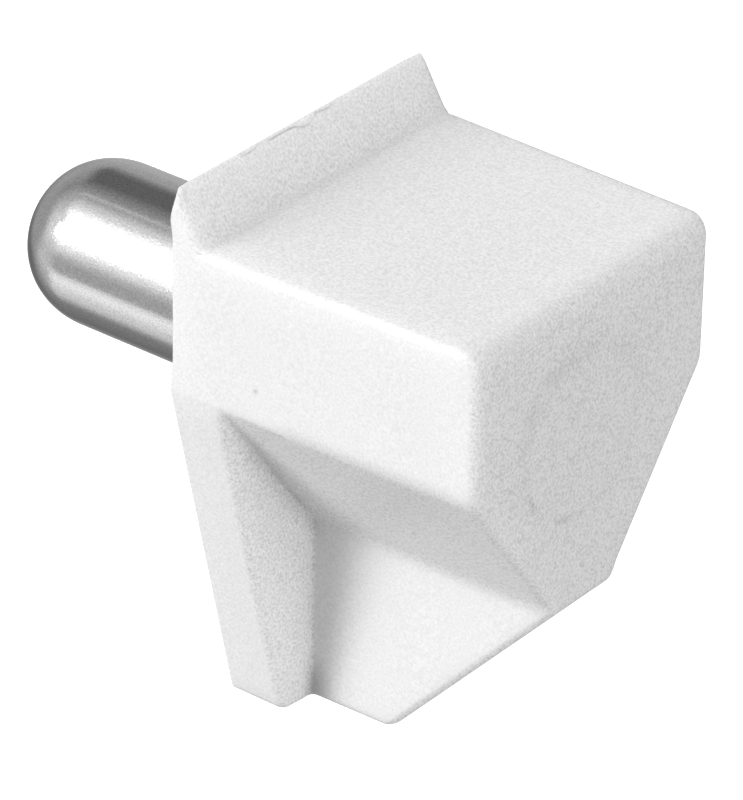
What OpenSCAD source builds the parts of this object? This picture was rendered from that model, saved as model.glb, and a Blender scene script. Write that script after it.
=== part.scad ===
// Shelf support pin: a moulded white bracket on a round steel pin.
// Frame: the origin is on the pin's axis, at the back face of the plate
// that lies against the cabinet side. +X points out of the wall, under the
// shelf, +Z is up, and the pin points along -X into its hole.
// All sizes are in millimetres.

/* [Pin] */
// Diameter of the pin's plain end, which sets the hole it fits
pin_d = 5; // [4.5:0.1:5.4]
// How far the pin stands out behind the plate, nose included
pin_reach = 9.24; // [8:0.02:14]
// How full the nose is: 2 is a half ball, more is squarer at the shoulder
nose_power = 2.12; // [2:0.02:2.6]
// Diameter of the part of the pin that is fixed inside the moulding
shank_d = 5.5; // [5.5:0.1:6]
// Thickness of plastic left in front of the pin's inner end
front_skin = 0.9; // [0.6:0.1:2]

/* [Bracket] */
// Width of the bracket at the wall
body_w = 11.08; // [10:0.02:14]
// Width lost between the wall and the front face, from the mould's draft
draft_w = 0.54; // [0:0.02:0.6]
// How far the bracket stands out of the wall
body_l = 10.34; // [9:0.02:14]
// Height of the shelf seat above the pin's axis
seat_z = 4.82; // [4.4:0.02:5.6]
// Height of the bracket's side faces' lower edge above the pin's axis
side_z = 0.16; // [-0.5:0.02:0.5]
// Depth of the front face's lower edge below the pin's axis
front_drop = 5.08; // [5:0.02:6]

/* [Back plate] */
// Thickness of the back plate
plate_t = 1.83; // [1.3:0.01:2.2]
// Depth of the plate's foot below the pin's axis
foot_drop = 11.1; // [10:0.02:13]
// Width of the plate's foot
foot_w = 5.56; // [4:0.02:7]

/* [Lip] */
// Height of the wedge-shaped lip's top edge above the pin's axis
lip_z = 6.4; // [5.9:0.02:7.4]
// How far the lip's foot reaches out over the seat
lip_base = 1.05; // [0.6:0.01:1.4]
// Width of the blunt edge along the lip's top
lip_edge = 0.08; // [0.06:0.01:0.4]
// Width of the cut across the lip's end corner on the -Y side
lip_cut_w = 0.4; // [0.1:0.02:0.8]
// Height of that cut
lip_cut_h = 0.95; // [0.4:0.05:1.2]
// Corner radius at the lip's end on the +Y side
lip_corner_r = 0.25; // [0.2:0.05:1.1]

/* [Rib] */
// Thickness of the rib under the block
rib_t = 2.96; // [2:0.02:3.4]
// How far the rib's foot stands out of the wall
rib_foot = 4.78; // [3.6:0.02:6]
// Radius of the rib's toe, seen from the side
toe_r = 0.85; // [0.3:0.05:1.4]

/* [Edges] */
// Radius along the seat's side edges
seat_edge_r = 0.4; // [0.2:0.05:0.7]
// Radius of the edge between the seat and the front face
nose_edge_r = 0.4; // [0.2:0.05:0.7]
// Radius of the front face's upright edges
front_edge_r = 0.4; // [0.2:0.05:0.7]
// Radius of the side faces' lower edges
side_edge_r = 0.6; // [0.1:0.05:0.7]
// Radius of the front face's lower edges
chin_r = 0.3; // [0.1:0.05:0.4]
// Radius of the plate's free front edges
plate_edge_r = 0.3; // [0.1:0.05:0.5]
// Radius of the plate's outline where its taper starts
plate_corner_r = 0.4; // [0.2:0.05:1]
// Radius of the rib's sloping front edges
rib_edge_r = 0.35; // [0.1:0.05:0.6]
// Radius of the plate's foot corners
foot_r = 0.35; // [0.1:0.05:0.8]
// Radius of the inside corners, where rib, plate and block meet
inner_r = 0.25; // [0.1:0.05:0.5]
// Radius in the corner between lip and seat
lip_fillet_r = 0.2; // [0.1:0.05:0.6]
// Radius of the lip's two end edges
lip_end_r = 0.2; // [0.1:0.05:0.6]

/* [Ring on the front face] */
// Radius of the ring-shaped sink mark over the pin's inner end
ring_r = 2.6; // [2.2:0.05:2.8]
// How far the ring's centre lies off the pin's axis, towards +Y
ring_y = -0.3; // [-0.4:0.02:0.4]
// How far the ring's centre lies above the pin's axis
ring_z = 0.38; // [-0.4:0.02:0.6]
// Depth of the ring
ring_depth = 0.05; // [0.02:0.01:0.12]
// Radius of the round groove's own section
ring_groove_r = 0.3; // [0.2:0.05:0.6]

/* [Hidden] */
$fn = 96;

pin_r = pin_d / 2;
shank_r = shank_d / 2;
shank_l = body_l - front_skin;
// The thicker part of the pin starts just inside the back face
shoulder_x = 0.15;
half_w = body_w / 2;
front_half_w = half_w - draft_w / 2;
// The outlines seen along X reach a little past the sides, which the drafted
// outline seen from above then cuts
side_w = half_w + 0.02;
// How far the lip's front face leans back from upright, in degrees
lip_angle = atan((lip_base - lip_edge) / (lip_z - seat_z));
// The rib's sloping edge runs from the front face's lower edge to its toe
toe = [rib_foot, -foot_drop];
chin = [body_l, -front_drop];
rib_angle = atan2(chin[1] - toe[1], chin[0] - toe[0]);

function unit(v) = v / norm(v);
function turn(a, b, c) = (b[0] - a[0]) * (c[1] - b[1]) - (b[1] - a[1]) * (c[0] - b[0]);
// Distance from a corner to the two points where its arc starts and ends
function reach(a, b, c, r) = r / tan(acos(unit(a - b) * unit(c - b)) / 2);
function centre(a, b, c, r) =
    b + unit(unit(a - b) + unit(c - b)) * r / sin(acos(unit(a - b) * unit(c - b)) / 2);

// A polygon given anticlockwise as [x, y, r] corners, each rounded by a true
// arc of its own radius r, outwards or inwards, or left sharp when r is 0.
module rounded(p) {
    n = len(p);
    xy = [for (q = p) [q[0], q[1]]];
    function at(i) = xy[(i + n) % n];
    cut = [for (i = [0:n - 1])
        let (a = at(i - 1), b = at(i), c = at(i + 1), r = p[i][2])
        each r > 0
            ? let (d = reach(a, b, c, r)) [b + unit(a - b) * d, b + unit(c - b) * d]
            : [b]];
    difference() {
        union() {
            polygon(cut);
            for (i = [0:n - 1])
                if (p[i][2] > 0 && turn(at(i - 1), at(i), at(i + 1)) > 0)
                    translate(centre(at(i - 1), at(i), at(i + 1), p[i][2])) circle(p[i][2]);
        }
        for (i = [0:n - 1])
            if (p[i][2] > 0 && turn(at(i - 1), at(i), at(i + 1)) < 0)
                translate(centre(at(i - 1), at(i), at(i + 1), p[i][2])) circle(p[i][2]);
    }
}

// Outlines given in the planes they are seen in
module along_x(l) rotate([90, 0, 90]) linear_extrude(height = l) children();
module along_y(w) translate([0, w / 2, 0]) rotate([90, 0, 0]) linear_extrude(height = w) children();

// An outline whose plane holds X and the outward normal of a sloping side.
// from and to are the slope's two ends in the YZ plane, with the solid on the
// left of the way from one to the other. The outline's own x is the object's
// X, and its y is the distance outwards from the slope.
module along_slope(from, to, extra = 4) {
    t = unit(to - from);
    l = norm(to - from) + 2 * extra;
    // columns: where the outline's x, its y and the extrusion go
    multmatrix([
        [1, 0, 0, 0],
        [0, t[1], t[0], from[0] - t[0] * extra],
        [0, -t[0], t[1], from[1] - t[1] * extra],
        [0, 0, 0, 1]
    ])
        linear_extrude(height = l) children();
}

// Fills an inside corner at the origin between two walls that run off along
// the unit vectors u and v, up to a concave arc of radius r.
module corner_fill(u, v, r) {
    d = r / tan(acos(u * v) / 2);
    e = 0.05;
    difference() {
        polygon([-unit(u + v) * e, u * d - v * e, u * d, v * d, v * d - u * e]);
        translate(unit(u + v) * r / sin(acos(u * v) / 2)) circle(r);
    }
}

// The plate's shield outline, seen along X, up to where the lip takes over
module plate_outline() {
    rounded([
        [-side_w, side_z + 2, 0],
        [-side_w, side_z, plate_corner_r],
        [-foot_w / 2, -foot_drop, foot_r],
        [foot_w / 2, -foot_drop, foot_r],
        [side_w, side_z, plate_corner_r],
        [side_w, side_z + 2, 0]
    ]);
}

// The lip's outline, seen along X, carried down into the block
module lip_outline() {
    rounded([
        [-side_w, side_z + 2, 0],
        [side_w, side_z + 2, 0],
        [side_w, lip_z, lip_corner_r],
        [-side_w + lip_cut_w, lip_z, 0],
        [-side_w, lip_z - lip_cut_h, 0]
    ]);
}

// The block's six-sided outline, seen along X
module block_outline() {
    rounded([
        [-side_w, seat_z, seat_edge_r],
        [-side_w, side_z, side_edge_r],
        [-rib_t / 2, -front_drop, 0],
        [rib_t / 2, -front_drop, 0],
        [side_w, side_z, side_edge_r],
        [side_w, seat_z, seat_edge_r]
    ]);
}

// The whole bracket's outline, seen along Y
module side_outline() {
    rounded([
        [0, -foot_drop, 0],
        [toe[0], toe[1], toe_r],
        [chin[0], chin[1], chin_r],
        [body_l, seat_z, nose_edge_r],
        [plate_t + 1, seat_z, 0],
        [plate_t + 1, lip_z, 0],
        [0, lip_z, 0]
    ]);
}

// The bracket's outline, seen from above, narrowing to the front
module plan_outline() {
    rounded([
        [-1, -half_w - draft_w / 2 / body_l, 0],
        [body_l, -front_half_w, front_edge_r],
        [body_l, front_half_w, front_edge_r],
        [-1, half_w + draft_w / 2 / body_l, 0]
    ]);
}

// Cuts the front edge of a face that slopes in the YZ plane to a radius
module slope_limit(x, from, to, r) {
    along_slope(from, to, 8)
        rounded([[-1, -16, 0], [x, -16, 0], [x, 0, r], [-1, 0, 0]]);
}

module plate() {
    intersection() {
        along_x(plate_t) plate_outline();
        slope_limit(plate_t, [-side_w, side_z], [-foot_w / 2, -foot_drop], plate_edge_r);
        slope_limit(plate_t, [foot_w / 2, -foot_drop], [side_w, side_z], plate_edge_r);
        along_y(body_w + 4)
            rounded([[-1, -foot_drop, 0], [plate_t, -foot_drop, plate_edge_r], [plate_t, lip_z + 1, 0], [-1, lip_z + 1, 0]]);
    }
}

// The lip is a flat bar along its own sloping front, with the two end edges
// of that front rounded, cut off level at the top
module lip() {
    intersection() {
        along_x(plate_t + 1) lip_outline();
        translate([lip_base, 0, seat_z]) rotate([0, -lip_angle, 0]) translate([0, 0, -3]) linear_extrude(height = 8)
            rounded([[-3, -side_w, 0], [0, -side_w, lip_end_r], [0, side_w, lip_end_r], [-3, side_w, 0]]);
    }
}

// The root of the lip is filled along the seat, between the seat's side edges
module lip_root() {
    translate([0, half_w - seat_edge_r, 0]) rotate([90, 0, 0]) linear_extrude(height = body_w - 2 * seat_edge_r)
        translate([lip_base, seat_z]) corner_fill([1, 0], unit([lip_edge - lip_base, lip_z - seat_z]), lip_fillet_r);
}

module block() {
    intersection() {
        along_x(body_l + 1) block_outline();
        slope_limit(body_l, [-side_w, side_z], [-rib_t / 2, -front_drop], chin_r);
        slope_limit(body_l, [rib_t / 2, -front_drop], [side_w, side_z], chin_r);
    }
}

// The rib is a flat bar along the sloping edge, with that edge's two corners
// rounded, cut off level at the foot and let into the block
module rib() {
    intersection() {
        along_x(body_l + 1)
            rounded([[-rib_t / 2, -foot_drop, rib_edge_r], [rib_t / 2, -foot_drop, rib_edge_r], [rib_t / 2, -front_drop + 2, 0], [-rib_t / 2, -front_drop + 2, 0]]);
        along_y(rib_t + 2)
            polygon([[0, -foot_drop - 1], [body_l, -foot_drop - 1], [body_l, -front_drop - 0.1], [body_l - 0.6, -front_drop + 0.5], [0, -front_drop + 0.5]]);
        translate([toe[0], 0, toe[1]]) rotate([0, 90 - rib_angle, 0]) translate([0, 0, -8]) linear_extrude(height = 24)
            rounded([[-14, -rib_t / 2, 0], [0, -rib_t / 2, rib_edge_r], [0, rib_t / 2, rib_edge_r], [-14, rib_t / 2, 0]]);
    }
}

// Inside corners of the half on the +Y side
module inner_corners() {
    run = unit([rib_t / 2 - side_w, -front_drop - side_z]);
    // between the rib and the block's sloping underside
    along_x(body_l)
        translate([rib_t / 2, -front_drop]) corner_fill([0, -1], -run, inner_r);
    // between the rib and the plate
    translate([plate_t, rib_t / 2, -foot_drop + plate_edge_r]) linear_extrude(height = foot_drop - front_drop)
        corner_fill([1, 0], [0, 1], inner_r);
    // between the sloping underside and the plate
    along_slope([rib_t / 2, -front_drop], [side_w - 0.3, side_z - 0.3 * run[1] / run[0]], 0)
        translate([plate_t, 0]) corner_fill([1, 0], [0, 1], inner_r);
}

module bracket_solid() {
    intersection() {
        union() {
            plate();
            lip();
            lip_root();
            block();
            rib();
            inner_corners();
            mirror([0, 1, 0]) inner_corners();
        }
        along_y(body_w + 4) side_outline();
        translate([0, 0, -foot_drop - 1]) linear_extrude(height = foot_drop + lip_z + 2) plan_outline();
    }
}

module bracket() {
    color("white")
    difference() {
        bracket_solid();
        // Bore that the steel pin fills
        translate([-1, 0, 0]) rotate([0, 90, 0]) cylinder(h = 1 + shoulder_x, r = pin_r);
        translate([shoulder_x, 0, 0]) rotate([0, 90, 0]) cylinder(h = shank_l - shoulder_x, r = shank_r);
        // Ring-shaped sink mark on the front face
        translate([body_l + ring_groove_r - ring_depth, ring_y, ring_z]) rotate([0, 90, 0])
            rotate_extrude() translate([ring_r, 0]) circle(ring_groove_r);
    }
}

// Half of the pin's outline, from its inner end to the tip of its nose
module pin_outline() {
    nose = [for (a = [0:3.75:90])
        [pin_r * pow(sin(a), 2 / nose_power), pin_reach - pin_r + pin_r * pow(cos(a), 2 / nose_power)]];
    polygon(concat(
        [[0, -shank_l], [shank_r, -shank_l], [shank_r, -shoulder_x], [pin_r, -shoulder_x]],
        [for (i = [len(nose) - 1:-1:0]) nose[i]]
    ));
}

module steel_pin() {
    color("silver")
    rotate([0, -90, 0]) rotate_extrude() pin_outline();
}

bracket();
steel_pin();
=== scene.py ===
import math

import bmesh
import bpy
import numpy as np
from mathutils import Matrix, Vector


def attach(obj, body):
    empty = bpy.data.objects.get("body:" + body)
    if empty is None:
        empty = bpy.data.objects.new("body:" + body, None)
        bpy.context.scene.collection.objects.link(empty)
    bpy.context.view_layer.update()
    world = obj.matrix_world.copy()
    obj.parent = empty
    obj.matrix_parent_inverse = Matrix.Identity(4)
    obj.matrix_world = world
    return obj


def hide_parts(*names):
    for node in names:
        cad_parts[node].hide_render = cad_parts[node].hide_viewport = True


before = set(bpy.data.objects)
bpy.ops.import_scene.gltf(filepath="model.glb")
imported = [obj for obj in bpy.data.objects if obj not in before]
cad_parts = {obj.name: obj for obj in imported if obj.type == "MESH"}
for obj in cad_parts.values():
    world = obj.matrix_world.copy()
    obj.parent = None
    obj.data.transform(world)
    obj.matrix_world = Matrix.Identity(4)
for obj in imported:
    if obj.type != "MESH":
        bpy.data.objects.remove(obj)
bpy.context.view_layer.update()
MM = 0.001

# ---------------------------------------------------------------- sizes, mm
HALF_W, DRAFT = 5.54, 0.0262        # half width at the wall, loss per mm of x
L = 10.34                           # front face
SEAT, SIDE_Z, CHIN_Z = 4.82, 0.135, -5.075
SLOPE_Z = CHIN_Z + 0.08              # where the underside meets the rib
RISE = 0.0066                       # rise of the side's lower edge per mm of x, from the same draft
PLATE_T, FOOT_Z, FOOT_HW = 1.83, -11.09, 2.78
LIP_Z, LIP_BASE, LIP_EDGE = 6.405, 1.05, 0.08
RIB_H, TOE_X = 1.65, 4.78          # half thickness at the wall; it loses DRAFT per mm too
PIN_R, PIN_REACH, SHANK_R = 2.5, 9.23, 2.75
SHOULDER, SHANK_L = 0.15, 9.44
RING_Y, RING_Z, RING_R = -0.30, 0.38, 2.60     # sink mark over the pin's inner end
# radii of edges and inside corners
R_UPRIGHT, R_SEAT, R_NOSE, R_CHIN = 0.42, 0.42, 0.62, 0.30
R_LOWER = (0.32, 1.2)               # on the -Y side, on the +Y side
R_RIB, R_PLATE, R_FOOT, R_LIP_ROOT, R_LIP_END = 0.24, 0.30, 0.26, 0.20, 0.22
K_INNER, R_ROOT = 0.22, 0.10


# Thin flash that the mould's parting line left on the lip's front, under its top edge: y, width, and how dark its lower edge is
FLASH = [(-2.78, -0.12, 0.0), (-2.60, 0.07, 0.5), (-2.35, 0.09, 0.8), (-2.05, 0.06, 0.6), (-1.90, 0.03, 0.1), (-1.62, 0.05, 0.3),
         (-1.30, 0.06, 1.0), (-0.90, 0.05, 1.0), (-0.50, 0.06, 1.0), (-0.28, 0.10, 0.8), (-0.10, 0.19, 0.6), (0.08, 0.22, 0.45),
         (0.24, 0.20, 0.45), (0.40, 0.14, 0.4), (0.52, 0.07, 0.7), (0.62, 0.03, 0.9), (0.80, 0.05, 0.8), (1.10, 0.07, 0.8),
         (1.30, 0.06, 0.5), (1.55, 0.02, 0.1), (1.75, -0.12, 0.0)]
FLASH_T = 0.045


def unit(v):
    v = np.asarray(v, float)
    return v / np.linalg.norm(v)


def step(a, b, x):
    t = np.clip((x - a) / (b - a), 0.0, 1.0)
    return t * t * (3 - 2 * t)


def both(a, b, r):
    """Intersection of two fields with a round edge; r is the radius times (1 - cos) of the angle between the faces."""
    return np.minimum(-r, np.maximum(a, b)) + np.hypot(np.maximum(r + a, 0), np.maximum(r + b, 0))


def either(a, b, r):
    """Union of two fields with a round inside corner."""
    return np.maximum(r, np.minimum(a, b)) - np.hypot(np.maximum(r - a, 0), np.maximum(r - b, 0))


N_SLOPE = unit((SIDE_Z + RISE * L - SLOPE_Z, -(HALF_W - RIB_H)))        # (y, z) of the block's sloping underside
N_TAPER = unit((-(FOOT_Z - SIDE_Z), -(HALF_W - FOOT_HW)))        # (y, z) of the plate's tapering side
N_LIP = unit((LIP_Z - SEAT, LIP_BASE - LIP_EDGE))                # (x, z) of the lip's front
N_CHAMFER = unit((0.80, 0.38))                                   # (y, z) of the cut across the lip's -Y end corner
N_GUSSET = unit((CHIN_Z - FOOT_Z, -(L - TOE_X)))                 # (x, z) of the rib's sloping edge


def pick(*pairs):
    """The radius that belongs to whichever face is nearest, changing smoothly where two are."""
    top = pairs[0][0]
    for c, _ in pairs[1:]:
        top = np.maximum(top, c)
    total, value = 0.0, 0.0
    for c, k in pairs:
        w = np.exp((c - top) / 0.08)
        total, value = total + w, value + w * k
    return value / total


def bracket_field(x, y, z):
    """The moulding as a field in mm, negative inside, near its true distance close to the surface."""
    ay = np.abs(y)
    # the ring-shaped sink mark over the pin's inner end
    soft = 0.5 + 0.5 * np.cos(np.arctan2(z - RING_Z, y - RING_Y) - 2.1)
    off = np.hypot(y - RING_Y, z - RING_Z) - RING_R
    ring = (0.011 + 0.006 * soft) * np.exp(-((off / (0.12 + 0.14 * soft)) ** 2))
    front = x - L + ring
    side = ay - (HALF_W - DRAFT * x)
    far = step(-0.5, 0.5, y)
    slope = side * N_SLOPE[0] + (z - SIDE_Z - RISE * x) * N_SLOPE[1] - far * (0.035 + 0.006 * np.clip(-z, 0, 5.2))
    rib = ay - (RIB_H - DRAFT * x)
    gusset = (x - L) * N_GUSSET[0] + (z - CHIN_Z) * N_GUSSET[1] + 0.02
    taper = (ay - HALF_W) * N_TAPER[0] + (z - SIDE_Z) * N_TAPER[1]
    lip = (x - LIP_BASE) * N_LIP[0] + (z - SEAT) * N_LIP[1]
    # block and rib hanging from it, unlimited upwards and sideways
    under = either(slope, rib, K_INNER)
    f = both(under, front, R_CHIN)
    corner = 0.22 * (1 - far) * step(0.0, 0.9, rib - slope) + 0.62 * far * step(L - 2.5, L - 0.8, x)
    f = both(f, gusset, pick((under, R_RIB + corner), (front, 0.284 * R_CHIN)))
    # plate behind it
    p = both(taper, x - (PLATE_T - 0.02 + 0.21 * (1 - step(1.5, 4.0, ay))), R_PLATE)
    f = either(f, p, R_ROOT)
    f = both(f, FOOT_Z - z, R_FOOT)
    # seat and lip, as one outline seen along Y
    top = either(z - SEAT, both(lip, z - LIP_Z, 0.05), 0.513 * R_LIP_ROOT)
    f = both(f, top, R_NOSE)
    # flash on the lip
    down = (x - LIP_EDGE) * N_LIP[1] + (LIP_Z - z) * N_LIP[0]
    width = np.interp(y, [q[0] for q in FLASH], [q[1] for q in FLASH])
    f = np.minimum(f, np.maximum(np.maximum(lip - FLASH_T, down - width), np.maximum(z - LIP_Z, -lip - 0.25)))
    # drafted sides
    out = step(PLATE_T - 0.25, PLATE_T + 0.35, x)
    lower = R_LOWER[0] + (R_LOWER[1] - R_LOWER[0]) * far
    k = pick((front, R_UPRIGHT), (taper + (slope - taper) * out, 0.12 + (0.222 * lower - 0.12) * out),
             (np.where(lip > z - SEAT, z - SEAT, -9.0), R_SEAT), (np.maximum(lip, z - LIP_Z), R_LIP_END))
    f = both(f, side, k)
    # the lip's end corners, seen along X
    rc = 0.25
    cap = np.hypot(np.maximum(ay - (HALF_W - rc), 0), np.maximum(z - (LIP_Z - rc), 0)) - rc
    chamfer = (ay - HALF_W) * N_CHAMFER[0] + (z - LIP_Z + 0.80) * N_CHAMFER[1]
    cap = np.where(z > LIP_Z - rc, cap, -9.0)
    cap = np.where(y < 0, np.where(z > LIP_Z - 1.4, both(chamfer, z - LIP_Z, 0.03), -9.0), cap)
    k = 0.12 * step(LIP_Z - 1.35, LIP_Z - 0.8, z) * step(HALF_W - 1.2, HALF_W - 0.3, ay)
    f = both(f, cap, np.maximum(k, 1e-4))
    # back face, and the bore that the pin fills
    f = both(f, -x, 0.04 + 0.16 * step(0.2, 1.2, z) * (1 - step(4.9, 5.7, z)))
    bore = np.maximum(np.hypot(y, z) - np.where(x < SHOULDER, PIN_R, SHANK_R) - 0.004, x - SHANK_L - 0.004)
    return np.maximum(f, -bore)


def bracket_gradient(x, y, z, h=0.004):
    g = np.stack([
        bracket_field(x + h, y, z) - bracket_field(x - h, y, z),
        bracket_field(x, y + h, z) - bracket_field(x, y - h, z),
        bracket_field(x, y, z + h) - bracket_field(x, y, z - h)], axis=-1)
    return g / np.maximum(np.linalg.norm(g, axis=-1, keepdims=True), 1e-12)


def axis(*segments):
    """Grid planes along one axis, from (start, end, spacing) runs that meet end to end."""
    planes = [segments[0][0]]
    for a, b, h in segments:
        n = max(1, int(round((b - a) / h)))
        planes.extend(a + (b - a) * (np.arange(n) + 1) / n)
    return np.array(planes)


def contour(field, gradient, ax):
    """Dual contouring: one vertex in each cell that the surface crosses, placed by the surface's own normals, so that edges stay crisp."""
    n = [len(a) for a in ax]
    v = np.empty(n)
    yy, zz = np.meshgrid(ax[1], ax[2], indexing="ij")
    for i, xv in enumerate(ax[0]):
        v[i] = field(np.full_like(yy, xv), yy, zz)
    inside = v < 0
    shape = [k - 1 for k in n]
    ata, atb, mass = np.zeros(shape + [6]), np.zeros(shape + [3]), np.zeros(shape + [4])
    crossings = []
    for k in range(3):
        a, b = [slice(None)] * 3, [slice(None)] * 3
        a[k], b[k] = slice(0, -1), slice(1, None)
        idx = np.argwhere(inside[tuple(a)] != inside[tuple(b)])
        other = [m for m in range(3) if m != k]
        nb = idx.copy()
        nb[:, k] += 1
        p = np.stack([ax[m][idx[:, m]] for m in range(3)], axis=-1)
        start, span = p[:, k].copy(), ax[k][nb[:, k]] - p[:, k]
        f0, f1 = v[tuple(idx.T)], v[tuple(nb.T)]
        t0, t1, negative = np.zeros(len(idx)), np.ones(len(idx)), f0 < 0
        for _ in range(5):
            t = t0 + (t1 - t0) * np.clip(f0 / (f0 - f1), 0.02, 0.98)
            p[:, k] = start + t * span
            ft = field(p[:, 0], p[:, 1], p[:, 2])
            same = (ft < 0) == negative
            t0, f0 = np.where(same, t, t0), np.where(same, ft, f0)
            t1, f1 = np.where(same, t1, t), np.where(same, f1, ft)
        p[:, k] = start + (t0 + (t1 - t0) * f0 / (f0 - f1)) * span
        g = gradient(p[:, 0], p[:, 1], p[:, 2])
        gx, gy, gz = g.T
        rows = np.stack([gx * gx, gx * gy, gx * gz, gy * gy, gy * gz, gz * gz], axis=-1)
        gp = g * (g * p).sum(1)[:, None]
        ones = np.column_stack([p, np.ones(len(p))])
        for s0 in (0, 1):
            for s1 in (0, 1):
                c = idx.copy()
                c[:, other[0]] -= s0
                c[:, other[1]] -= s1
                c = tuple(c.T)
                np.add.at(ata, c, rows)
                np.add.at(atb, c, gp)
                np.add.at(mass, c, ones)
        crossings.append((k, other, idx, negative))
    used = np.argwhere(mass[..., 3] > 0)
    c = tuple(used.T)
    mean = mass[c][:, :3] / mass[c][:, 3:]
    q = ata[c]
    a = q[:, [0, 1, 2, 1, 3, 4, 2, 4, 5]].reshape(-1, 3, 3)
    rhs = atb[c] - np.einsum("nij,nj->ni", a, mean)
    a[:, [0, 1, 2], [0, 1, 2]] += 0.02 * mass[c][:, 3:]
    pos = mean + np.linalg.solve(a, rhs[..., None])[..., 0]
    low = np.stack([ax[m][used[:, m]] for m in range(3)], axis=-1)
    high = np.stack([ax[m][used[:, m] + 1] for m in range(3)], axis=-1)
    pos = np.clip(pos, low, high)
    number = np.full(shape, -1)
    number[c] = np.arange(len(used))
    quads = []
    for k, other, idx, negative in crossings:
        ring = []
        for s0, s1 in ((0, 0), (1, 0), (1, 1), (0, 1)):
            c = idx.copy()
            c[:, other[0]] -= s0
            c[:, other[1]] -= s1
            ring.append(number[tuple(c.T)])
        f = np.stack(ring, axis=-1)
        forward = negative if k != 1 else ~negative
        quads.append(np.where(forward[:, None], f, f[:, ::-1]))
    return pos, np.concatenate(quads)


def bracket_grid():
    """Bracket mesh, mm: fine where edges, fillets and the ring are, coarser along plain runs."""
    fine, plain = 0.088, 0.2
    xs = axis((-0.21, -0.03, fine), (-0.03, 0.33, 0.04), (0.33, 2.19, fine), (2.19, L - 1.46, plain), (L - 1.46, L + 0.29, fine))
    ys = axis((-5.75, -4.9, fine), (-4.9, -2.9, 0.125), (-2.9, 1.8, 0.06), (1.8, 4.9, 0.125), (4.9, 5.75, fine))
    zs = axis((-11.4, -10.7, fine), (-10.7, -5.6, plain), (-5.6, -4.9, fine), (-4.9, 4.1, 0.13), (4.1, 6.0, fine), (6.0, 6.5, 0.042))
    pos, quads = contour(bracket_field, bracket_gradient, (xs, ys, zs))
    for _ in range(3):
        f = bracket_field(*pos.T)
        pos = pos - np.clip(f, -0.02, 0.02)[:, None] * bracket_gradient(*pos.T)
    return pos, quads


# ---- build
def new_object(name, verts, faces, smooth=True):
    me = bpy.data.meshes.new(name)
    me.from_pydata((np.asarray(verts) * MM).tolist(), [], [list(map(int, f)) for f in faces])
    me.validate()
    if smooth:
        me.shade_smooth()
    ob = bpy.data.objects.new(name, me)
    bpy.context.scene.collection.objects.link(ob)
    return ob


def crisp_normals(pos, quads, gradient):
    """A normal for each corner of each quad: the surface's own, but read a little way into the face where an edge is tighter than the mesh."""
    p = pos[quads]
    centre = p.mean(axis=1, keepdims=True)
    inner = p + 0.4 * (centre - p)
    far = gradient(*inner.reshape(-1, 3).T).reshape(p.shape)
    near = gradient(*pos.T)[quads]
    same = (near * far).sum(-1) > math.cos(math.radians(11))
    return np.where(same[..., None], near, far)


# ---------------------------------------------------------------- bracket
pos, quads = bracket_grid()
normals = crisp_normals(pos, quads, bracket_gradient)
bracket = new_object("support_bracket", pos, quads)
bracket.data.normals_split_custom_set(normals.reshape(-1, 3).tolist())

# ---------------------------------------------------------------- pin
NOSE_P = 2.12
SEG = 160
outline = [(SHANK_L, 0.0), (SHANK_L, SHANK_R), (SHOULDER, SHANK_R), (SHOULDER, PIN_R)]
outline += [(x, PIN_R) for x in np.linspace(0.0, -(PIN_REACH - PIN_R), 12)]
for a in np.linspace(90, 0, 49)[1:]:
    s, c = math.sin(math.radians(a)), math.cos(math.radians(a))
    outline.append((-(PIN_REACH - PIN_R + PIN_R * c ** (2 / NOSE_P)), PIN_R * s ** (2 / NOSE_P) if s > 1e-9 else 0.0))
verts, faces = [], []
ring = []
for x, r in outline:
    if r < 1e-6:
        ring.append([len(verts)])
        verts.append((x, 0.0, 0.0))
    else:
        ring.append(list(range(len(verts), len(verts) + SEG)))
        verts.extend((x, r * math.cos(2 * math.pi * k / SEG), r * math.sin(2 * math.pi * k / SEG)) for k in range(SEG))
for a, b in zip(ring, ring[1:]):
    for k in range(SEG):
        m = (k + 1) % SEG
        if len(a) == 1:
            faces.append((a[0], b[k], b[m]))
        elif len(b) == 1:
            faces.append((a[k], b[0], a[m]))
        else:
            faces.append((a[k], b[k], b[m], a[m]))
pin = new_object("steel_pin_turned", verts, faces)
bm = bmesh.new()
bm.from_mesh(pin.data)
bmesh.ops.recalc_face_normals(bm, faces=bm.faces)
for e in bm.edges:
    if e.calc_face_angle(0) > math.radians(30):
        e.smooth = False
bm.to_mesh(pin.data)
bm.free()


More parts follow.
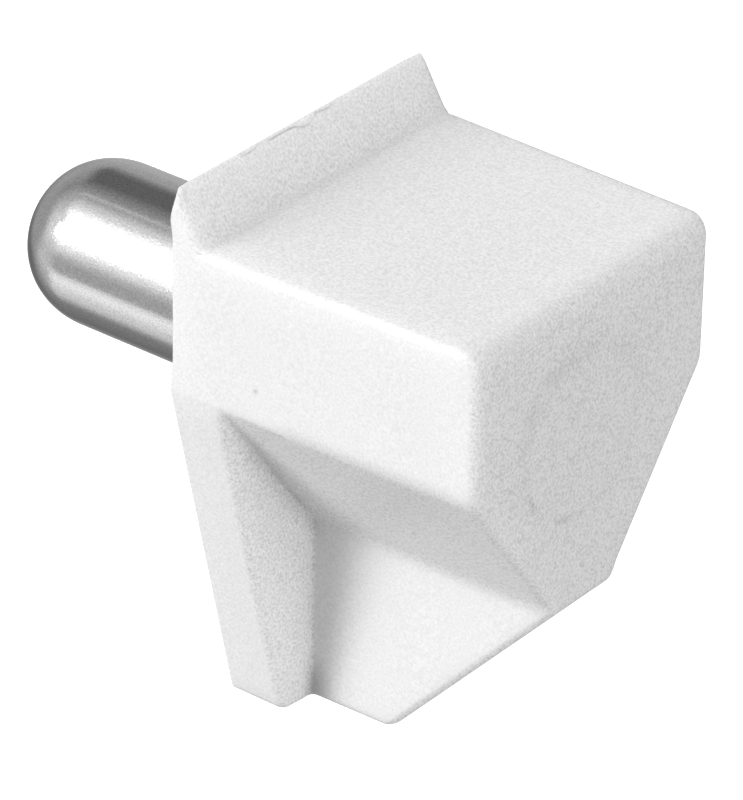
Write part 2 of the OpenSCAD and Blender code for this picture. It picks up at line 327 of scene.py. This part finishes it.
# ---------------------------------------------------------------- materials
class Nodes:
    """Short calls for adding and wiring shader nodes."""

    def __init__(self, tree):
        self.tree = tree
        tree.nodes.clear()

    def add(self, kind, **values):
        n = self.tree.nodes.new(kind)
        for k, v in values.items():
            setattr(n, k, v)
        return n

    def link(self, a, b):
        self.tree.links.new(a, b)

    def math(self, op, a, b=None, clamp=False):
        n = self.add("ShaderNodeMath", operation=op, use_clamp=clamp)
        for i, v in enumerate((a, b)):
            if v is None:
                continue
            if isinstance(v, (int, float)):
                n.inputs[i].default_value = v
            else:
                self.link(v, n.inputs[i])
        return n.outputs[0]

    def ramp(self, fac, stops, mode="LINEAR"):
        n = self.add("ShaderNodeValToRGB")
        n.color_ramp.interpolation = mode
        els = n.color_ramp.elements
        while len(els) > 1:
            els.remove(els[-1])
        els[0].position = stops[0][0]
        for p, _ in stops[1:]:
            els.new(p)
        for e, (p, v) in zip(els, stops):
            e.position = p
            e.color = (v, v, v, 1) if isinstance(v, (int, float)) else (*v, 1)
        self.link(fac, n.inputs[0])
        return n.outputs[0]

    def noise(self, vec, scale, detail=2.0, rough=0.5, dims="3D"):
        n = self.add("ShaderNodeTexNoise", noise_dimensions=dims)
        n.inputs["Scale"].default_value = scale
        n.inputs["Detail"].default_value = detail
        n.inputs["Roughness"].default_value = rough
        self.link(vec, n.inputs["Vector"])
        return n.outputs[0]


def material(name):
    m = bpy.data.materials.new(name)
    m.use_nodes = True
    n = Nodes(m.node_tree)
    out = n.add("ShaderNodeOutputMaterial")
    bsdf = n.add("ShaderNodeBsdfPrincipled")
    n.link(bsdf.outputs[0], out.inputs[0])
    return m, n, bsdf


plastic, n, b = material("white_plastic")
at = n.add("ShaderNodeTexCoord").outputs["Object"]
cloud = n.noise(at, 420, 3, 0.55)
grain = n.noise(at, 13000, 1, 0.5)
# grain contrast set by which way a face points: painted shading of the fine bumps under the key light, faint on the two
# sides that face it and strongest under the block
faces = n.add("ShaderNodeSeparateXYZ")
n.link(n.add("ShaderNodeTexCoord").outputs["Normal"], faces.inputs[0])
grain_shade_by_facing = n.math("MULTIPLY", n.ramp(n.math("ABSOLUTE", faces.outputs[1]), [(0.86, 1.0), (0.98, 0.34)]),
                n.math("SUBTRACT", 0.80, n.math("MULTIPLY", faces.outputs[2], 0.30)))
mix = n.math("ADD", n.math("MULTIPLY", n.math("SUBTRACT", cloud, 0.5), 0.02), n.math("MULTIPLY", n.math("SUBTRACT", grain, 0.5), grain_shade_by_facing))
value = n.math("ADD", mix, 0.87)
sep = n.add("ShaderNodeSeparateXYZ")
n.link(at, sep.inputs[0])
px, py, pz = (n.math("MULTIPLY", o, 1000.0) for o in sep.outputs)


def near(v, centre, reach):
    """1 where v is at centre, falling to 0 at the distance reach."""
    return n.math("SUBTRACT", 1.0, n.math("DIVIDE", n.math("ABSOLUTE", n.math("SUBTRACT", v, centre)), reach), clamp=True)


# the shaded lower edge of the flash
along_y = n.math("DIVIDE", n.math("SUBTRACT", py, FLASH[0][0]), FLASH[-1][0] - FLASH[0][0])
spots = [((q[0] - FLASH[0][0]) / (FLASH[-1][0] - FLASH[0][0]), q) for q in FLASH]
edge = n.ramp(along_y, [(p, (q[1] + 0.15) * 2) for p, q in spots])
dark = n.ramp(along_y, [(p, q[2]) for p, q in spots])
edge = n.math("SUBTRACT", n.math("DIVIDE", edge, 2.0), 0.15 - 0.022)
down = n.math("ADD", n.math("MULTIPLY", n.math("SUBTRACT", px, LIP_EDGE), float(N_LIP[1])),
              n.math("MULTIPLY", n.math("SUBTRACT", LIP_Z, pz), float(N_LIP[0])))
proud = n.math("ADD", n.math("MULTIPLY", n.math("SUBTRACT", px, LIP_BASE), float(N_LIP[0])),
               n.math("MULTIPLY", n.math("SUBTRACT", pz, SEAT), float(N_LIP[1])))
line = n.math("MULTIPLY", n.math("MULTIPLY", near(down, edge, 0.06), dark), near(proud, 0.0, 0.12))
value = n.math("MULTIPLY", value, n.math("SUBTRACT", 1.0, n.math("MULTIPLY", line, 0.52)))
# the ring, broken and uneven, painted as shade over the sink mark at the pin's inner end; and a speck on the -Y side
ry, rz = n.math("SUBTRACT", py, RING_Y), n.math("SUBTRACT", pz, RING_Z)
rho = n.math("SQRT", n.math("ADD", n.math("MULTIPLY", ry, ry), n.math("MULTIPLY", rz, rz)))
angle = n.math("FRACT", n.math("DIVIDE", n.math("ARCTAN2", rz, ry), 2 * math.pi))
wide = n.ramp(angle, [(0.0, 0.26), (0.12, 0.46), (0.2, 0.60), (0.4, 0.66), (0.5, 0.42), (0.54, 0.2), (0.58, 0.16), (0.64, 0.2), (0.75, 0.2), (1.0, 0.26)])
out = n.ramp(angle, [(0.0, 0.0), (0.28, 0.0), (0.44, 0.18), (0.54, 0.0), (1.0, 0.0)])
ring_shade_depth = n.ramp(angle, [(p / 360, v) for p, v in ((0, 0.04), (20, 0.07), (60, 0.085), (95, 0.115), (150, 0.10), (180, 0.05), (196, 0.07), (202, 0.20), (212, 0.20),
                                                (218, 0.02), (236, 0.03), (242, 0.18), (262, 0.16), (280, 0.06), (310, 0.04), (360, 0.04))])
patchy = n.ramp(n.noise(at, 1800, 1, 0.5), [(0.38, 0.45), (0.62, 1.3)])
ring = n.math("SUBTRACT", 1.0, n.math("DIVIDE", n.math("ABSOLUTE", n.math("SUBTRACT", n.math("SUBTRACT", rho, RING_R), out)), wide), clamp=True)
ring = n.math("MULTIPLY", n.math("MULTIPLY", ring, n.math("MULTIPLY", ring_shade_depth, patchy)), near(px, L, 0.3))
# darken the base colour along the ring: painted shade
value = n.math("MULTIPLY", value, n.math("SUBTRACT", 1.0, ring))
spot = n.math("MULTIPLY", n.math("MULTIPLY", near(px, 2.99, 0.12), near(pz, 1.20, 0.12)), near(py, -HALF_W + DRAFT * 3, 0.3))
value = n.math("MULTIPLY", value, n.math("SUBTRACT", 1.0, n.math("MULTIPLY", spot, 0.35)))
# painted shade: the cut end of the lip is darkened where it faces the key light, and the inside corner where the rib
# meets the plate at the foot is darkened as the shadow there
lip_end_shade = n.math("ADD", n.math("MULTIPLY", n.math("SUBTRACT", n.math("MULTIPLY", py, -1.0), HALF_W), float(N_CHAMFER[0])),
             n.math("MULTIPLY", n.math("SUBTRACT", pz, LIP_Z - 0.80), float(N_CHAMFER[1])))
lip_end_shade = n.math("MULTIPLY", near(lip_end_shade, 0.0, 0.25), near(pz, LIP_Z - 0.3, 0.7))
value = n.math("MULTIPLY", value, n.math("SUBTRACT", 1.0, n.math("MULTIPLY", lip_end_shade, 0.28)))
# painted shadow in the inside corner between the rib and the plate at the foot
foot_corner_shade = n.math("MULTIPLY", n.math("MULTIPLY", near(py, -RIB_H, 0.45), near(px, PLATE_T + 0.25, 0.7)), near(pz, FOOT_Z, 1.6))
value = n.math("MULTIPLY", value, n.math("SUBTRACT", 1.0, n.math("MULTIPLY", foot_corner_shade, 0.5)))
# painted shade in the crease between the underside and the plate, and along the plate's back edges
slope = n.math("ADD", n.math("MULTIPLY", n.math("SUBTRACT", n.math("ABSOLUTE", py), HALF_W - DRAFT * PLATE_T), float(N_SLOPE[0])),
               n.math("MULTIPLY", n.math("SUBTRACT", pz, SIDE_Z), float(N_SLOPE[1])))
crease_shade = n.math("MULTIPLY", n.math("MULTIPLY", near(slope, 0.0, 0.6), near(px, PLATE_T + 0.1, 0.6)), near(n.math("ABSOLUTE", py), 2.4, 2.9))
value = n.math("MULTIPLY", value, n.math("SUBTRACT", 1.0, n.math("MULTIPLY", crease_shade, 0.20)))
value = n.math("MULTIPLY", value, n.math("SUBTRACT", 1.0, n.math("MULTIPLY", near(px, 0.0, 0.5), 0.06)))
# painted shade on the rounded edge between the seat and the front
nose_edge_shade = n.math("MULTIPLY", n.math("MULTIPLY", near(px, L, 0.9), near(pz, SEAT, 0.9)), 0.10)
value = n.math("MULTIPLY", value, n.math("SUBTRACT", 1.0, nose_edge_shade))
col = n.add("ShaderNodeCombineColor")
for i in range(3):
    n.link(value, col.inputs[i])
n.link(col.outputs[0], b.inputs["Base Color"])
rough = n.math("ADD", n.math("MULTIPLY", cloud, 0.10), 0.30)
n.link(rough, b.inputs["Roughness"])
b.inputs["IOR"].default_value = 1.46
b.inputs["Subsurface Weight"].default_value = 1.0
b.inputs["Subsurface Radius"].default_value = (1.0, 1.0, 1.0)
b.inputs["Subsurface Scale"].default_value = 0.0008
bump = n.add("ShaderNodeBump")
bump.inputs["Strength"].default_value = 0.12
bump.inputs["Distance"].default_value = 0.00002
n.link(grain, bump.inputs["Height"])
n.link(bump.outputs[0], b.inputs["Normal"])
bracket.data.materials.append(plastic)

steel, n, b = material("plated_steel")
at = n.add("ShaderNodeTexCoord").outputs["Object"]
b.inputs["Metallic"].default_value = 1.0
mottle = n.noise(at, 1500, 3, 0.6)
speck = n.noise(at, 16000, 2, 0.65)
value = n.math("ADD", n.math("MULTIPLY", n.math("SUBTRACT", mottle, 0.5), 0.06), 0.736)
value = n.math("ADD", n.math("MULTIPLY", n.math("SUBTRACT", speck, 0.5), 0.62), value)
col = n.add("ShaderNodeCombineColor")
for i in range(3):
    n.link(value, col.inputs[i])
n.link(col.outputs[0], b.inputs["Base Color"])
rough = n.math("ADD", n.math("MULTIPLY", speck, 0.08), 0.065)
n.link(rough, b.inputs["Roughness"])
bump = n.add("ShaderNodeBump")
bump.inputs["Strength"].default_value = 1.0
bump.inputs["Distance"].default_value = 0.0000017
# small raised grains in the plating, which catch the light one by one
grains = n.ramp(n.noise(at, 14000, 0, 0.5), [(0.62, 0.0), (0.74, 1.0)])
height = n.math("ADD", n.math("MULTIPLY", speck, 0.45), n.math("MULTIPLY", grains, 0.6))
n.link(height, bump.inputs["Height"])
n.link(bump.outputs[0], b.inputs["Normal"])
pin.data.materials.append(steel)

for ob, node, slot in ((bracket, "bracket", "white_plastic"), (pin, "steel_pin", "plated_steel")):
    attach(ob, "root")
    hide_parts(node)

# ---------------------------------------------------------------- floor
me = bpy.data.meshes.new("floor")
R = 0.8
me.from_pydata([(R * math.cos(2 * math.pi * k / 96), R * math.sin(2 * math.pi * k / 96), -0.06) for k in range(96)], [], [list(range(96))])
floor = bpy.data.objects.new("floor", me)
bpy.context.scene.collection.objects.link(floor)
mat, n, b = material("floor_white")
b.inputs["Base Color"].default_value = (0.9, 0.9, 0.9, 1)
b.inputs["Roughness"].default_value = 0.8
b.inputs["Emission Color"].default_value = (1, 1, 1, 1)
b.inputs["Emission Strength"].default_value = 0.6
floor.data.materials.append(mat)

# A white surround for level views, seen only by the camera
me = bpy.data.meshes.new("backdrop")
ring = [[(R * math.cos(2 * math.pi * k / 96), R * math.sin(2 * math.pi * k / 96), z) for k in range(96)] for z in (-0.06, 0.8)]
me.from_pydata(ring[0] + ring[1], [], [(k, (k + 1) % 96, (k + 1) % 96 + 96, k + 96) for k in range(96)])
backdrop = bpy.data.objects.new("backdrop", me)
bpy.context.scene.collection.objects.link(backdrop)
wall, n, b = material("backdrop_white")
b.inputs["Base Color"].default_value = (0.9, 0.9, 0.9, 1)
b.inputs["Roughness"].default_value = 0.8
b.inputs["Emission Color"].default_value = (1, 1, 1, 1)
b.inputs["Emission Strength"].default_value = 1.6
backdrop.data.materials.append(wall)
for ob in (floor, backdrop):
    ob.visible_diffuse = ob.visible_glossy = ob.visible_transmission = ob.visible_shadow = False

# ---------------------------------------------------------------- light
# Grey values that a bright round bar shows round X, from +Y over +Z, for the studio behind and beside the object. The key softbox is apart.
BAR = [(4, 162), (16, 154), (28, 150), (34, 130), (40, 104), (46, 91), (70, 91), (77, 110), (86, 130), (92, 141), (95.2, 188), (98.5, 150), (102, 160),
       (107, 186), (113, 205), (120, 222), (173, 222), (179, 209), (185, 177), (194, 154), (209, 154), (213, 208),
       (222, 232), (234, 205), (240, 198), (246, 187), (252, 153), (258, 121), (270, 113), (288, 100), (300, 118), (318, 160)]
RHO = 0.736
NOSE = 0.38
# Light beside and in front of the object, at even steps of the same angle, and straight ahead
BESIDE = [0.34, 0.57, 0.77, 0.0, 0.0, 0.15, 0.3, 0.25]
BEFORE = [0.0, 0.32, 0.67, 0.7, 0.0, 0.42, 0.58, 0.0]
AHEAD = [0.3, 1.6, 1.39, 1.08]
# and behind it, round the pin's nose, as grey values at steps of 30 degrees from 15
REAR = [150, 142, 128, 165, 200, 205, 180, 182, 142, 98, 100, 135]
# The key softbox, at 131, 142, 153 and 160 degrees round X with a faint rim outside, in rows from the front to the back
KEY_X = (-0.30, -0.42, -0.54, -0.66)
KEY = [(26.6, 3.8, 0.0, 0.0), (17.6, 12.7, 5.2, 0.0), (4.9, 10.5, 11.2, 19.7), (0.0, 0.0, 9.4, 36.5)]
KEY_AT = (118, 122, 127, 131, 142, 153, 160, 163, 168, 174)
RIM = ((0.0, 0.24, 0.32), (0.32, 0.24, 0.0))
SCALE = 40.0


def linear(v):
    v /= 255
    return v / 12.92 if v <= 0.04045 else ((v + 0.055) / 1.055) ** 2.4


world = bpy.data.worlds.new("studio")
bpy.context.scene.world = world
world.use_nodes = True
n = Nodes(world.node_tree)
out = n.add("ShaderNodeOutputWorld")
bg = n.add("ShaderNodeBackground")
n.link(bg.outputs[0], out.inputs[0])
sep = n.add("ShaderNodeSeparateXYZ")
n.link(n.add("ShaderNodeTexCoord").outputs["Generated"], sep.inputs[0])
dx, dy, dz = sep.outputs
turn = n.math("FRACT", n.math("DIVIDE", n.math("ARCTAN2", dz, dy), 2 * math.pi))
half_x = n.math("ADD", n.math("MULTIPLY", dx, 0.5), 0.5)


def mixed(fac, a, b):
    m = n.add("ShaderNodeMix", data_type="RGBA")
    for i, v in ((0, fac), (6, a), (7, b)):
        if isinstance(v, float):
            m.inputs[i].default_value = v if i == 0 else (v, v, v, 1)
        else:
            n.link(v, m.inputs[i])
    return m.outputs[2]


def around(label, values):
    stops = [(k / len(values), v / SCALE) for k, v in enumerate(values)]
    out = n.ramp(turn, stops + [(1.0, values[0] / SCALE)])
    out.node.label = label
    return out


def along(a, b, mode="EASE"):
    """From 0 to 1 as the direction's X goes from a to b."""
    lo, hi = (a + 1) / 2, (b + 1) / 2
    return n.ramp(half_x, [(lo, 0.0), (hi, 1.0)] if lo < hi else [(hi, 1.0), (lo, 0.0)], mode)


bar = n.ramp(turn, [(p / 360, linear(v) / RHO / SCALE) for p, v in BAR])
bar.node.label = "bar"
studio = mixed(along(-0.38, -0.22), bar, around("beside", BESIDE))
studio = mixed(along(0.10, 0.40), studio, around("before", BEFORE))
studio = mixed(along(0.50, 0.85), studio, around("ahead", AHEAD))
rear = [((15 + 30 * k) / 360, linear(v) / RHO / SCALE) for k, v in enumerate(REAR)]
ends = (rear[0][1] + rear[-1][1]) / 2
rear = n.ramp(turn, [(0.0, ends), *rear, (1.0, ends)])
rear.node.label = "rear"
studio = mixed(along(-0.62, -0.78), studio, rear)
studio = mixed(along(-0.88, -0.98), studio, NOSE / SCALE)
studio.node.label = "nose"
key = 0.0
for i, (at_x, values) in enumerate(zip(KEY_X, KEY)):
    stops = [(p / 360, v / SCALE) for p, v in zip(KEY_AT, (*RIM[0], *values, *RIM[1]))]
    row = n.ramp(turn, stops)
    row.node.label = "key%d" % i
    key = mixed(along(at_x + 0.12, at_x, "LINEAR"), key, row)
key = mixed(along(KEY_X[-1], KEY_X[-1] - 0.12, "LINEAR"), key, 0.0)
m = n.add("ShaderNodeMix", data_type="RGBA", blend_type="ADD")
m.inputs[0].default_value = 1.0
n.link(studio, m.inputs[6])
n.link(key, m.inputs[7])
n.link(m.outputs[2], bg.inputs["Color"])
bg.inputs["Strength"].default_value = SCALE

# ---------------------------------------------------------------- camera
AZ, EL, ROLL = (math.radians(v) for v in (38.0415, 30.3258, 1.0063))
TX, TY, DIST, FOCAL = -2.1184, 2.2829, 168.44, 5962.8
back = Vector((math.sin(AZ) * math.cos(EL), -math.cos(AZ) * math.cos(EL), math.sin(EL)))
right = Vector((math.cos(AZ), math.sin(AZ), 0.0))
up_v = back.cross(right)
r = right * math.cos(ROLL) + up_v * math.sin(ROLL)
u = -right * math.sin(ROLL) + up_v * math.cos(ROLL)
cam = bpy.data.objects.new("camera", bpy.data.cameras.new("camera"))
bpy.context.scene.collection.objects.link(cam)
where = (back * DIST - r * TX - u * TY) * MM
cam.matrix_world = Matrix(((r.x, u.x, back.x, where.x), (r.y, u.y, back.y, where.y), (r.z, u.z, back.z, where.z), (0, 0, 0, 1)))
cam.data.sensor_width = 36.0
cam.data.lens = FOCAL * 36.0 / 800.0
cam.data.clip_start, cam.data.clip_end = 0.01, 20.0
bpy.context.scene.camera = cam
bpy.context.scene.view_settings.view_transform = "Standard"
